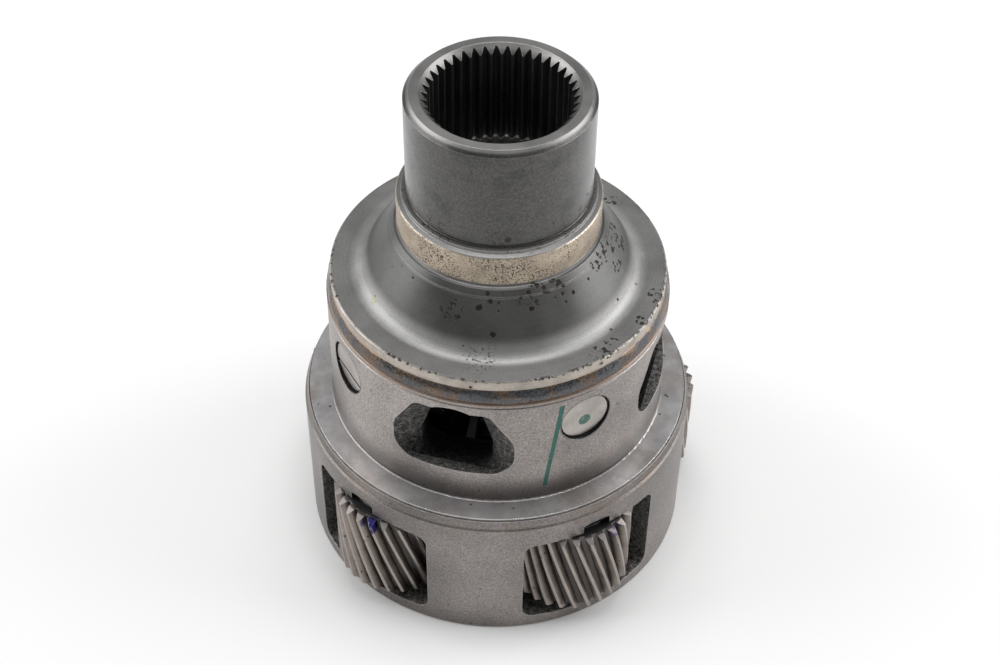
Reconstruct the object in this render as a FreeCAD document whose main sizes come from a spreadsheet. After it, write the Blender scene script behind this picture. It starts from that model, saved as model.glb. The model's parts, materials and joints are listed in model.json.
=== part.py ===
"""Planetary final drive with a built-in four-pinion bevel differential and a splined output tube.

Millimetres and degrees. The origin is on the main axis at the lower face of the planet carrier,
+Z runs up through the differential to the mouth of the splined tube. Azimuths are counted from
the -Y direction towards +X, so the first planet stands at azimuth 45.
"""
import FreeCAD, Part
import math
import os
import re
import Sketcher
from FreeCAD import Placement, Rotation, Vector

SIZES = {
    # planet carrier drum
    "drum_radius": 80.0,
    "drum_top": 62.4,
    "drum_edge": 0.6,
    "lip_radius": 79.2,
    "lip_bottom": 63.2,
    "lip_slope_bottom": 64.2,
    "lip_slope_top": 66.6,
    "lip_inner_radius": 78.4,
    "lip_groove_bottom": 66.0,
    "shoulder_radius": 77.8,
    "shoulder_height": 67.7,
    "sun_bore_radius": 41.0,
    "sun_bore_top": 5.2,
    "sun_room_radius": 42.4,
    "sun_room_top": 55.0,
    "planet_floor": 5.9,
    "planet_ceiling": 52.4,
    "spotface_top": 57.6,
    "spotface_radius": 20.1,
    "spotface_corner": 2.0,
    "planet_room_radius": 26.1,
    "pin_hole_bottom": -1.0,
    "pin_hole_top": 65.0,
    # windows in the drum, in front of the planets
    "planet_window_half": 31.6,
    "planet_window_outer": 82.0,
    "planet_window_inner_half": 26.0,
    "planet_window_inner": 56.56,
    "planet_window_corner": 5.0,
    "planet_window_draft": 1.2,
    # differential case
    "case_radius": 68.3,
    "case_upper_radius": 67.8,
    "case_fillet": 0.8,
    "case_ring_bottom": 119.8,
    "case_ring_depth": 0.5,
    "case_top": 122.0,
    "pilot_radius": 59.0,
    "pilot_bottom": 117.2,
    "gear_centre": 105.6,
    "cavity_radius": 55.0,
    "seat_offset": 39.9,
    "hub_bore_radius": 22.05,
    "cross_hole_radius": 10.8,
    "case_window_half": 24.6,
    "case_window_foot_half": 15.5,
    "case_window_bottom": 83.2,
    "case_window_widest": 94.5,
    "case_window_slope_half": 23.2,
    "case_window_slope_bottom": 101.0,
    "case_window_head_half": 16.3,
    "case_window_head": 112.6,
    "case_window_top_half": 12.0,
    "case_window_top": 115.6,
    "case_window_arch_half": 7.5,
    "case_window_low_corner": 10.5,
    "case_window_side_bow": 9.0,
    "case_window_top_corner": 5.2,
    "case_window_arch": 16.0,
    "case_window_floor": 63.8,
    "case_throat": 58.5,
    "case_throat_narrowing": 0.57,
    "case_throat_stretch": 1.11,
    "case_throat_bottom": 77.0,
    "case_throat_depth": 17.5,
    # cover: flange, bearing band and splined tube
    "pilot_gap": 0.03,
    "cover_pilot_bottom": 117.4,
    "flange_radius": 65.9,
    "flange_top": 132.2,
    "flange_edge": 0.6,
    "flange_flat_radius": 57.6,
    "cone_foot_radius": 53.05,
    "cone_foot": 134.7,
    "cone_blend": 5.4,
    "scribe_radius": 42.0,
    "scribe_height": 151.9,
    "scribe_depth": 0.3,
    "scribe_half_width": 0.4,
    "cone_top_radius": 40.4,
    "cone_top": 154.4,
    "band_radius": 39.2,
    "band_bottom": 156.2,
    "band_top": 168.7,
    "band_edge": 0.5,
    "band_neck_radius": 38.6,
    "band_neck_bottom": 155.1,
    "ring_outer_radius": 37.2,
    "ring_inner_radius": 35.8,
    "ring_bottom": 169.3,
    "ring_top": 170.6,
    "ring_slope": 0.2,
    "tube_radius": 35.34,
    "tube_neck_radius": 34.9,
    "tube_bottom": 170.8,
    "tube_neck_top": 171.8,
    "tube_top": 214.5,
    "tube_edge": 2.1,
    "tube_mouth_radius": 29.73,
    "spline_minor_radius": 26.56,
    "spline_major_radius": 28.72,
    "spline_bottom": 171.4,
    "spline_cutter_end": 171.0,
    "spline_cutter_radius": 25.96,
    "spline_turn": 1.2,
    "spline_relief_radius": 29.2,
    "spline_relief_top": 170.8,
    "tube_ledge": 168.6,
    "spline_count": 42,
    "spline_angle": 30.0,
    # weld between the case and the cover
    "weld_top": 127.8,
    "weld_top_radius": 66.3,
    "weld_toe_top": 122.5,
    "weld_toe_radius": 67.45,
    "weld_radius": 67.85,
    "weld_bulge": 9.0,
    # planets and what they turn on
    "planet_count": 5,
    "first_planet_azimuth": 45.0,
    "planet_orbit": 60.56,
    "planet_teeth": 27,
    "sun_teeth": 43,
    "planet_module": 1.7304,
    "planet_pressure": 21.0,
    "planet_backlash": 0.06,
    "planet_root_gap": 0.25,
    "planet_lead": 514.3,
    "planet_bottom": 8.8,
    "planet_shoulder": 51.6,
    "planet_top": 54.6,
    "planet_hub_radius": 17.0,
    "planet_tooth_chamfer": 1.3,
    "planet_blank_allowance": 0.01,
    "planet_rest_angle": 2.8,
    "planet_phase_height": 48.0,
    "planet_bore_radius": 11.55,
    "planet_pin_radius": 8.5,
    "planet_pin_bottom": 0.4,
    "planet_pin_top": 64.6,
    "planet_pin_edge": 0.8,
    "pin_hole_gap": 0.01,
    "needle_count": 20,
    "needle_radius": 1.5,
    "needle_circle": 10.02,
    "needle_bottom": 11.6,
    "needle_top": 51.8,
    "washer_radius": 18.0,
    "washer_bore_radius": 8.6,
    "steel_washer": 1.6,
    "bronze_washer": 1.1,
    "washer_gap": 0.05,
    # differential gears
    "pinion_teeth": 10,
    "side_teeth": 16,
    "bevel_cone": 53.0,
    "bevel_pressure": 25.0,
    "bevel_backlash": 0.3,
    "pinion_addendum": 1.1,
    "side_addendum": 0.7,
    "bevel_root_gap": 0.2,
    "blank_overrun": 1.0,
    "pinion_front": 27.3,
    "pinion_bore_radius": 10.8,
    "pinion_trim_radius": 32.6,
    "side_front": 17.5,
    "side_back": 38.2,
    "side_trim_radius": 49.29,
    "side_hub_radius": 22.0,
    "upper_hub_end": 51.0,
    "lower_hub_end": 50.0,
    "side_spline_count": 30,
    "side_spline_minor": 14.4,
    "side_spline_major": 15.7,
    "side_spline_overcut": 0.02,
    "side_spline_mouth": 0.3,
    "side_spline_root": 0.16,
    "side_washer_radius": 36.4,
    "side_washer_bore": 22.2,
    "side_washer": 1.5,
    "side_washer_gap": 0.05,
    "pinion_washer": 1.7,
    "pinion_washer_radius": 22.0,
    "pinion_washer_bore": 10.8,
    "pinion_washer_gap": 0.1,
    # cross pins
    "cross_pin_radius": 10.75,
    "cross_pin_half": 66.5,
    "cross_pin_edge": 0.8,
    "cross_slot_width": 1.5,
    "cross_slot_depth": 2.4,
    "cross_slot_drop": 3.7,
    "spigot_radius": 5.0,
    "spigot_gap": 0.02,
    "spigot_end": 1.5,
    "short_pin_shoulder": 10.9,
    "roll_pin_radius": 2.0,
    "roll_pin_bore": 1.1,
    "roll_pin_circle": 60.5,
    "roll_hole_bottom": 92.8,
    "roll_pin_bottom": 93.0,
    "roll_pin_top": 115.4,
}

doc = FreeCAD.newDocument("FinalDriveDifferential")
sheet = doc.addObject("Spreadsheet::Sheet", "Size")
for row, (alias, number) in enumerate(SIZES.items(), start=1):
    sheet.set("A%d" % row, alias)
    sheet.set("B%d" % row, str(number))
    sheet.setAlias("B%d" % row, alias)
doc.recompute()

DIFFERENTIAL_PINS = (45, 135, 225, 315)
UP = Vector(0, 0, 1)
ON_AXIS = 1e-9
LEAST_CHANGE = 0.01


# ---------------------------------------------------------------- sheet and sketch helpers
def bound(expression):
    """The expression with each alias written as a reference to its cell in the sheet."""
    def cell(word):
        return "Size." + word[0] if word[0] in SIZES else word[0]

    return re.sub(r"[a-z_]+", cell, str(expression))


def size(expression):
    """The number that an expression over the sheet's cells comes to."""
    value = sheet.evalExpression(bound(expression))
    return float(getattr(value, "Value", value))


def outward(azimuth, distance=1.0, height=0.0):
    """The point at an azimuth, a distance from the main axis and a height."""
    angle = math.radians(azimuth)
    return Vector(distance * math.sin(angle), -distance * math.cos(angle), height)


def origin_feature(body, role):
    """One of the body's own origin planes or axes."""
    return next(feature for feature in body.Origin.OriginFeatures if feature.Role == role)


def flat_sketch(body, name, height="0", azimuth="0"):
    """A sketch parallel to XY at a height; its -Y direction points to the azimuth."""
    sketch = body.newObject("Sketcher::SketchObject", name)
    sketch.AttachmentSupport = [(origin_feature(body, "XY_Plane"), "")]
    sketch.MapMode = "FlatFace"
    sketch.AttachmentOffset = Placement(Vector(0, 0, 0), Rotation(UP, size(azimuth)))
    sketch.setExpression("AttachmentOffset.Base.z", bound(height))
    return sketch


def upright_sketch(body, name, azimuth=0, distance="0"):
    """An upright sketch whose normal points outward at the azimuth; Y of the sketch is up."""
    sketch = body.newObject("Sketcher::SketchObject", name)
    sketch.AttachmentSupport = [(origin_feature(body, "XZ_Plane"), "")]
    sketch.MapMode = "FlatFace"
    sketch.AttachmentOffset = Placement(Vector(0, 0, 0), Rotation(Vector(0, 1, 0), azimuth))
    sketch.setExpression("AttachmentOffset.Base.x", bound("(%s) * sin(%s deg)" % (distance, azimuth)))
    sketch.setExpression("AttachmentOffset.Base.z", bound("(%s) * cos(%s deg)" % (distance, azimuth)))
    return sketch


def radial_sketch(body, name, azimuth=90):
    """An upright sketch through the main axis whose X direction points outward at the azimuth."""
    return upright_sketch(body, name, azimuth - 90)


def fix_point(sketch, geometry, point, x, y):
    """Hold a point of the sketch at x, y, both bound to the sheet."""
    for kind, expression, other_axis in (("DistanceX", x, -2), ("DistanceY", y, -1)):
        value = size(expression)
        if abs(value) < ON_AXIS:
            sketch.addConstraint(Sketcher.Constraint("PointOnObject", geometry, point, other_axis))
            continue
        index = sketch.addConstraint(Sketcher.Constraint(kind, -1, 1, geometry, point, value))
        sketch.setExpression("Constraints[%d]" % index, bound(expression))


def fix_radius(sketch, geometry, radius):
    index = sketch.addConstraint(Sketcher.Constraint("Radius", geometry, size(radius)))
    sketch.setExpression("Constraints[%d]" % index, bound(radius))


def add_arc(sketch, start, end, radius, centre_left):
    """A short arc from start to end; returns its geometry and which of its ends is the start."""
    chord = end - start
    across = Vector(-chord.y, chord.x, 0).normalize() * (1 if centre_left else -1)
    centre = (start + end) * 0.5 + across * math.sqrt(max(radius ** 2 - chord.Length ** 2 / 4, 0.0))
    first, last = (start, end) if centre_left else (end, start)
    first_angle = math.atan2(first.y - centre.y, first.x - centre.x)
    last_angle = math.atan2(last.y - centre.y, last.x - centre.x)
    circle = Part.Circle(centre, UP, radius)
    geometry = sketch.addGeometry(Part.ArcOfCircle(circle, first_angle, last_angle), False)
    return geometry, (1, 2) if centre_left else (2, 1)


def outline(sketch, corners):
    """A closed outline. A corner is (x, y), or (x, y, side, radius) where an arc leaves it;
    side is "left" or "right", the side of the arc's centre."""
    points = [Vector(size(corner[0]), size(corner[1]), 0) for corner in corners]
    sides = []
    for index, corner in enumerate(corners):
        start = points[index]
        end = points[(index + 1) % len(points)]
        if len(corner) == 2:
            sides.append((sketch.addGeometry(Part.LineSegment(start, end), False), (1, 2)))
        else:
            sides.append(add_arc(sketch, start, end, size(corner[3]), corner[2] == "left"))
    for index, corner in enumerate(corners):
        geometry, (start, end) = sides[index]
        next_geometry, (next_start, _) = sides[(index + 1) % len(sides)]
        sketch.addConstraint(Sketcher.Constraint("Coincident", geometry, end, next_geometry, next_start))
        fix_point(sketch, geometry, start, corner[0], corner[1])
        if len(corner) > 2:
            fix_radius(sketch, geometry, corner[3])


def circle(sketch, x, y, radius):
    """A circle with its centre and radius bound to the sheet."""
    centre = Vector(size(x), size(y), 0)
    geometry = sketch.addGeometry(Part.Circle(centre, UP, size(radius)), False)
    fix_radius(sketch, geometry, radius)
    fix_point(sketch, geometry, 3, x, y)


def box_outline(sketch, left, right, bottom, top):
    outline(sketch, [(left, bottom), (right, bottom), (right, top), (left, top)])


def rounded_box(sketch, half_width, bottom, top, radius):
    """A rectangle about the sketch's Y axis with rounded corners."""
    inner = "(%s) - (%s)" % (half_width, radius)
    low = "(%s) + (%s)" % (bottom, radius)
    high = "(%s) - (%s)" % (top, radius)
    outline(sketch, [
        ("-(%s)" % inner, bottom), (inner, bottom, "left", radius),
        (half_width, low), (half_width, high, "left", radius),
        (inner, top), ("-(%s)" % inner, top, "left", radius),
        ("-(%s)" % half_width, high), ("-(%s)" % half_width, low, "left", radius),
    ])


# ---------------------------------------------------------------- feature helpers
def new_body(name):
    body = doc.addObject("PartDesign::Body", name)
    body.Label = name
    body.AllowCompound = True
    return body


def volume(body):
    doc.recompute()
    return body.Shape.Volume


def revolve(body, sketch, kind="PartDesign::Revolution", axis="V_Axis"):
    """Turn a sketch once round its own vertical axis, or round a construction line of the sketch."""
    feature = body.newObject(kind, sketch.Name + "_turned")
    feature.Profile = sketch
    feature.ReferenceAxis = (sketch, [axis])
    feature.Angle = 360
    doc.recompute()
    return feature


def pad(body, sketch, length, symmetric=False):
    feature = body.newObject("PartDesign::Pad", sketch.Name + "_pad")
    feature.Profile = sketch
    feature.Midplane = symmetric
    feature.setExpression("Length", bound(length))
    doc.recompute()
    return feature


def pocket(body, sketch, length, upward=False, symmetric=False):
    """Cut a sketch's outline; downward against the sketch's normal unless upward is set."""
    before = volume(body)
    feature = body.newObject("PartDesign::Pocket", sketch.Name + "_cut")
    feature.Profile = sketch
    feature.Reversed = upward
    feature.Midplane = symmetric
    feature.setExpression("Length", bound(length))
    if volume(body) > before - LEAST_CHANGE:
        raise RuntimeError(feature.Name + " cuts nothing")
    return feature


def lofted_cut(body, outer, inner):
    """Cut the tapering space between two outlines."""
    before = volume(body)
    feature = body.newObject("PartDesign::SubtractiveLoft", outer.Name + "_loft")
    feature.Profile = outer
    feature.Sections = [inner]
    feature.Ruled = True
    if volume(body) > before - LEAST_CHANGE:
        raise RuntimeError(feature.Name + " cuts nothing")
    return feature


def repeat(body, feature, count, angle=360):
    """Repeat a feature round the body's Z axis."""
    before = volume(body)
    pattern = body.newObject("PartDesign::PolarPattern", feature.Name + "_round")
    pattern.Originals = [feature]
    pattern.Axis = (origin_feature(body, "Z_Axis"), [""])
    pattern.Angle = angle
    pattern.Occurrences = int(size(count))
    body.Tip = pattern
    if abs(volume(body) - before) < LEAST_CHANGE:
        raise RuntimeError(pattern.Name + " repeats nothing")
    return pattern


def shaped(name, shape, placement=None):
    """A sub-part whose shape is worked out with Part's own functions."""
    feature = doc.addObject("Part::Feature", name)
    feature.Label = name
    feature.Shape = shape
    feature.Placement = placement or Placement()
    return feature


# ---------------------------------------------------------------- case and cover
def make_case():
    """Planet carrier drum and differential case, one casting."""
    body = new_body("carrier_case")
    profile = radial_sketch(body, "case_profile")
    sphere_low = "sqrt(cavity_radius ^ 2 - seat_offset ^ 2)"
    sphere_high = "sqrt(cavity_radius ^ 2 - (pilot_bottom - gear_centre) ^ 2)"
    outline(profile, [
        ("sun_bore_radius", "0"),
        ("drum_radius - drum_edge", "0"),
        ("drum_radius", "drum_edge"),
        ("drum_radius", "drum_top"),
        ("lip_radius", "lip_bottom"),
        ("lip_radius", "lip_slope_bottom"),
        ("lip_inner_radius", "lip_slope_top"),
        ("shoulder_radius", "lip_groove_bottom"),
        ("shoulder_radius", "shoulder_height"),
        ("case_radius + case_fillet", "shoulder_height", "right", "case_fillet"),
        ("case_radius", "shoulder_height + case_fillet"),
        ("case_upper_radius", "case_ring_bottom - case_ring_depth"),
        ("case_upper_radius - case_ring_depth", "case_ring_bottom"),
        ("case_upper_radius", "case_ring_bottom + case_ring_depth"),
        ("case_upper_radius", "case_top - case_ring_depth"),
        ("case_upper_radius - case_ring_depth", "case_top"),
        ("pilot_radius", "case_top"),
        ("pilot_radius", "pilot_bottom"),
        (sphere_high, "pilot_bottom", "right", "cavity_radius"),
        (sphere_low, "gear_centre - seat_offset"),
        ("hub_bore_radius", "gear_centre - seat_offset"),
        ("hub_bore_radius", "sun_room_top"),
        ("sun_room_radius", "sun_room_top"),
        ("sun_room_radius", "sun_bore_top"),
        ("sun_bore_radius", "sun_bore_top"),
    ])
    revolve(body, profile)
    cut_planet_windows(body)
    cut_planet_rooms(body)
    cut_case_windows(body)
    cut_cross_holes(body)
    return body


def cut_planet_windows(body):
    """Openings in the drum in front of the planets, a little wider at the outside."""
    azimuth = size("first_planet_azimuth")
    outer = upright_sketch(body, "planet_window", azimuth, "planet_window_outer")
    rounded_box(outer, "planet_window_half", "planet_floor", "planet_ceiling", "planet_window_corner")
    inner = upright_sketch(body, "planet_window_throat", azimuth, "planet_window_inner")
    rounded_box(inner, "planet_window_inner_half", "planet_floor + planet_window_draft",
                "planet_ceiling - planet_window_draft", "planet_window_corner")
    repeat(body, lofted_cut(body, outer, inner), "planet_count")


def cut_planet_rooms(body):
    """Round room for each planet, the spotface over it that breaks out as a notch, and the pin's hole."""
    azimuth = size("first_planet_azimuth")
    room = radial_sketch(body, "planet_room", azimuth)
    foot, head = Vector(size("planet_orbit"), 0, 0), Vector(size("planet_orbit"), 1, 0)
    axis = room.addGeometry(Part.LineSegment(foot, head), True)
    fix_point(room, axis, 1, "planet_orbit", "0")
    fix_point(room, axis, 2, "planet_orbit", "1")
    hole = "planet_orbit + planet_pin_radius + pin_hole_gap"
    outline(room, [
        ("planet_orbit", "pin_hole_bottom"), (hole, "pin_hole_bottom"), (hole, "planet_floor"),
        ("planet_orbit + planet_room_radius", "planet_floor"),
        ("planet_orbit + planet_room_radius", "planet_ceiling"),
        ("planet_orbit + spotface_radius", "planet_ceiling"),
        ("planet_orbit + spotface_radius", "spotface_top - spotface_corner", "left", "spotface_corner"),
        ("planet_orbit + spotface_radius - spotface_corner", "spotface_top"),
        (hole, "spotface_top"), (hole, "pin_hole_top"), ("planet_orbit", "pin_hole_top"),
    ])
    before = volume(body)
    turned = revolve(body, room, "PartDesign::Groove", "Axis0")
    if volume(body) > before - LEAST_CHANGE:
        raise RuntimeError(turned.Name + " cuts nothing")
    repeat(body, turned, "planet_count")


def case_window_outline(sketch, narrowing, stretch, bottom):
    """Window of the differential case: widest low down, sides that lean in, an arch in its top edge."""
    def across(cell, sign=""):
        return "%s(%s) * (%s)" % (sign, cell, narrowing)

    def along(cell):
        return "%s + (%s - case_window_bottom) * (%s)" % (bottom, cell, stretch)

    widest, slope = along("case_window_widest"), along("case_window_slope_bottom")
    head, top = along("case_window_head"), along("case_window_top")
    outline(sketch, [
        (across("case_window_foot_half", "-"), bottom),
        (across("case_window_foot_half"), bottom, "left", "case_window_low_corner"),
        (across("case_window_half"), widest, "left", "case_window_side_bow"),
        (across("case_window_slope_half"), slope),
        (across("case_window_head_half"), head, "left", "case_window_top_corner"),
        (across("case_window_top_half"), top),
        (across("case_window_arch_half"), top, "left", "case_window_arch"),
        (across("case_window_arch_half", "-"), top),
        (across("case_window_top_half", "-"), top, "left", "case_window_top_corner"),
        (across("case_window_head_half", "-"), head),
        (across("case_window_slope_half", "-"), slope, "left", "case_window_side_bow"),
        (across("case_window_half", "-"), widest, "left", "case_window_low_corner"),
    ])


def cut_case_windows(body):
    """Four windows: straight at the skin, then drawn in to a throat that opens into the cavity."""
    mouth = upright_sketch(body, "case_window_mouth", 0, "case_window_floor")
    case_window_outline(mouth, "1", "1", "case_window_bottom")
    repeat(body, pocket(body, mouth, "drum_radius - case_window_floor", upward=True), "4")
    outer = upright_sketch(body, "case_window_outer", 0, "case_window_floor")
    case_window_outline(outer, "1", "1", "case_window_bottom")
    inner = upright_sketch(body, "case_window_inner", 0, "case_throat")
    case_window_outline(inner, "case_throat_narrowing", "case_throat_stretch", "case_throat_bottom")
    repeat(body, lofted_cut(body, outer, inner), "4")
    throat = upright_sketch(body, "case_window_throat", 0, "case_throat")
    case_window_outline(throat, "case_throat_narrowing", "case_throat_stretch", "case_throat_bottom")
    repeat(body, pocket(body, throat, "case_throat_depth"), "4")


def cut_cross_holes(body):
    """Two crossing holes for the cross pins, and the upright holes of their three roll pins."""
    hole = upright_sketch(body, "cross_hole", 45)
    circle(hole, "0", "gear_centre", "cross_hole_radius")
    repeat(body, pocket(body, hole, "3 * drum_radius", symmetric=True), "2", angle=90)
    roll = flat_sketch(body, "roll_hole", "roll_hole_bottom", "45")
    circle(roll, "0", "-roll_pin_circle", "roll_pin_radius + pin_hole_gap")
    repeat(body, pocket(body, roll, "case_top", upward=True), "3", angle=180)


def make_cover():
    """Flange that closes the case, with the bearing band and the internally splined tube."""
    body = new_body("cover_tube")
    profile = radial_sketch(body, "cover_profile")
    sphere_low = "sqrt(cavity_radius ^ 2 - (cover_pilot_bottom - gear_centre) ^ 2)"
    sphere_high = "sqrt(cavity_radius ^ 2 - seat_offset ^ 2)"
    outline(profile, [
        (sphere_low, "cover_pilot_bottom"),
        ("pilot_radius - pilot_gap", "cover_pilot_bottom"),
        ("pilot_radius - pilot_gap", "case_top"),
        ("flange_radius", "case_top"),
        ("flange_radius", "flange_top - flange_edge"),
        ("flange_radius - flange_edge", "flange_top"),
        ("flange_flat_radius", "flange_top", "right", "cone_blend"),
        ("cone_foot_radius", "cone_foot"),
        ("scribe_radius + scribe_depth", "scribe_height - scribe_half_width"),
        ("scribe_radius - scribe_depth", "scribe_height"),
        ("scribe_radius", "scribe_height + scribe_half_width"),
        ("cone_top_radius", "cone_top"),
        ("band_neck_radius", "band_neck_bottom"),
        ("band_neck_radius", "band_bottom - band_edge"),
        ("band_radius", "band_bottom"),
        ("band_radius", "band_top - band_edge"),
        ("band_radius - band_edge", "band_top"),
        ("ring_outer_radius", "ring_bottom"),
        ("ring_outer_radius - ring_slope", "ring_top"),
        ("ring_inner_radius", "ring_top + ring_slope"),
        ("tube_neck_radius", "tube_bottom"),
        ("tube_radius", "tube_neck_top"),
        ("tube_radius", "tube_top - tube_edge"),
        ("tube_radius - tube_edge", "tube_top"),
        ("tube_mouth_radius", "tube_top"),
        ("spline_minor_radius", "tube_top - tube_mouth_radius + spline_minor_radius"),
        ("spline_minor_radius", "spline_bottom"),
        ("spline_relief_radius", "spline_relief_top"),
        ("spline_relief_radius", "tube_ledge"),
        ("hub_bore_radius", "tube_ledge"),
        ("hub_bore_radius", "gear_centre + seat_offset"),
        (sphere_high, "gear_centre + seat_offset", "right", "cavity_radius"),
    ])
    revolve(body, profile)
    space = flat_sketch(body, "spline_space", "tube_top", "spline_turn")
    half_pitch = "pi * (spline_minor_radius + spline_major_radius) / 4 / spline_count"
    slope = "tan(spline_angle * 1 deg)"
    middle = "(spline_minor_radius + spline_major_radius) / 2"
    mouth = "spline_cutter_radius"
    wide = "%s + (%s - %s) * %s" % (half_pitch, middle, mouth, slope)
    narrow = "%s - (spline_major_radius - %s) * %s" % (half_pitch, middle, slope)
    root = "spline_major_radius"
    outline(space, [
        (wide, "-%s" % mouth), ("-(%s)" % wide, "-%s" % mouth),
        ("-(%s)" % narrow, "-%s" % root), (narrow, "-%s" % root),
    ])
    repeat(body, pocket(body, space, "tube_top - spline_cutter_end"), "spline_count")
    return body


def make_weld():
    """Weld bead that lies in the corner between the case's top and the flange's rim."""
    body = new_body("weld_bead")
    profile = radial_sketch(body, "weld_profile")
    outline(profile, [
        ("flange_radius", "case_top"),
        ("weld_toe_radius", "case_top"),
        ("weld_radius", "weld_toe_top", "left", "weld_bulge"),
        ("weld_top_radius", "weld_top"),
        ("flange_radius", "weld_top"),
    ])
    revolve(body, profile)
    return body


# ---------------------------------------------------------------- cross pins
def make_long_cross_pin():
    """Long cross pin: a seat for the short pins' spigots at its middle, a slot in its front end."""
    body = new_body("cross_pin_long")
    profile = flat_sketch(body, "long_pin_profile")
    outline(profile, [
        ("0", "-cross_pin_half"),
        ("cross_pin_radius - cross_pin_edge", "-cross_pin_half"),
        ("cross_pin_radius", "-cross_pin_half + cross_pin_edge"),
        ("cross_pin_radius", "cross_pin_half - cross_pin_edge"),
        ("cross_pin_radius - cross_pin_edge", "cross_pin_half"),
        ("0", "cross_pin_half"),
    ])
    revolve(body, profile)
    seat = body.newObject("Sketcher::SketchObject", "spigot_seat")
    seat.AttachmentSupport = [(origin_feature(body, "YZ_Plane"), "")]
    seat.MapMode = "FlatFace"
    circle(seat, "0", "0", "spigot_radius + spigot_gap")
    pocket(body, seat, "4 * cross_pin_radius", symmetric=True)
    slot = upright_sketch(body, "end_slot", 0, "cross_pin_half")
    box_outline(slot, "-2 * cross_pin_radius", "2 * cross_pin_radius",
                "-cross_slot_drop - cross_slot_width / 2", "-cross_slot_drop + cross_slot_width / 2")
    pocket(body, slot, "cross_slot_depth")
    roll = flat_sketch(body, "long_roll_hole", "-2 * cross_pin_radius")
    circle(roll, "0", "roll_pin_circle", "roll_pin_radius + pin_hole_gap")
    pocket(body, roll, "4 * cross_pin_radius", upward=True)
    body.Placement = Placement(Vector(0, 0, size("gear_centre")), Rotation(UP, -45))
    return body


def make_short_cross_pin(name, azimuth):
    """Short cross pin: its spigot seats in the long pin."""
    body = new_body(name)
    profile = flat_sketch(body, name + "_profile")
    outline(profile, [
        ("0", "-spigot_end"),
        ("0", "-cross_pin_half"),
        ("cross_pin_radius - cross_pin_edge", "-cross_pin_half"),
        ("cross_pin_radius", "-cross_pin_half + cross_pin_edge"),
        ("cross_pin_radius", "-short_pin_shoulder"),
        ("spigot_radius", "-short_pin_shoulder"),
        ("spigot_radius", "-spigot_end"),
    ])
    revolve(body, profile)
    roll = flat_sketch(body, name + "_roll_hole", "-2 * cross_pin_radius")
    circle(roll, "0", "-roll_pin_circle", "roll_pin_radius + pin_hole_gap")
    pocket(body, roll, "4 * cross_pin_radius", upward=True)
    body.Placement = Placement(Vector(0, 0, size("gear_centre")), Rotation(UP, azimuth))
    return body


def make_roll_pins():
    """Three roll pins under the cover, one through an end of each cross pin."""
    body = new_body("cross_pin_roll_pins")
    section = flat_sketch(body, "roll_pin", "roll_pin_bottom", "45")
    circle(section, "0", "-roll_pin_circle", "roll_pin_radius")
    circle(section, "0", "-roll_pin_circle", "roll_pin_bore")
    repeat(body, pad(body, section, "roll_pin_top - roll_pin_bottom"), "3", angle=180)
    return body


# ---------------------------------------------------------------- bevel gears
def involute(angle):
    return math.tan(angle) - angle


def bevel_rim(teeth, pitch_angle, addendum, dedendum):
    """Tooth ring outline in the plane one unit from the apex, as a wire about the Z axis."""
    cone = size("bevel_cone")
    pressure = math.radians(size("bevel_pressure"))
    virtual_pitch = cone * math.tan(pitch_angle)
    virtual_base = virtual_pitch * math.cos(pressure)
    virtual_teeth = teeth / math.cos(pitch_angle)
    backlash = size("bevel_backlash") / 2 / virtual_pitch

    def flank_point(offset, centre, side):
        radius = virtual_pitch + offset
        slant = math.acos(min(1.0, virtual_base / radius))
        virtual_half = math.pi / 2 / virtual_teeth + involute(pressure) - involute(slant) - backlash / 2
        cone_angle = pitch_angle + offset / cone
        turn = centre + side * radius * virtual_half / (cone * math.sin(cone_angle))
        reach = math.tan(cone_angle)
        return Vector(reach * math.cos(turn), reach * math.sin(turn), 1)

    steps = 5
    offsets = [-dedendum + (addendum + dedendum) * step / (steps - 1) for step in range(steps)]
    edges = []
    for tooth in range(teeth):
        centre = 2 * math.pi * tooth / teeth
        rise = [flank_point(offset, centre, -1) for offset in offsets]
        fall = [flank_point(offset, centre, 1) for offset in reversed(offsets)]
        following = flank_point(offsets[0], centre + 2 * math.pi / teeth, -1)
        for points in (rise, fall):
            curve = Part.BSplineCurve()
            curve.interpolate(points)
            edges.append(curve.toShape())
        edges.append(ring_arc(rise[-1], fall[0]))
        edges.append(ring_arc(fall[-1], following))
    return Part.Wire(Part.__sortEdges__(edges))


def ring_arc(start, end):
    """Arc about the Z axis between two points at the same distance from it."""
    middle = (start + end) * 0.5
    reach = math.hypot(start.x, start.y) / math.hypot(middle.x, middle.y)
    on_ring = Vector(middle.x * reach, middle.y * reach, start.z)
    return Part.Arc(start, on_ring, end).toShape()


def bevel_teeth(wire, near, far):
    """Solid of straight bevel teeth that all run to the apex, between two planes."""
    sections = []
    for distance in (near, far):
        section = wire.copy()
        section.scale(distance, Vector(0, 0, 0))
        sections.append(section)
    return Part.makeLoft(sections, True, True)


def bevel_sizes():
    """Pitch angles and tooth heights of the pinion and the side gear."""
    pinion_angle = math.atan2(size("pinion_teeth"), size("side_teeth"))
    side_angle = math.pi / 2 - pinion_angle
    module = 2 * size("bevel_cone") * math.sin(pinion_angle) / size("pinion_teeth")
    gap = size("bevel_root_gap") * module
    pinion_addendum = size("pinion_addendum") * module
    side_addendum = size("side_addendum") * module
    return {
        "pinion": (int(size("pinion_teeth")), pinion_angle, pinion_addendum, side_addendum + gap),
        "side": (int(size("side_teeth")), side_angle, side_addendum, pinion_addendum + gap),
    }


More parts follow.
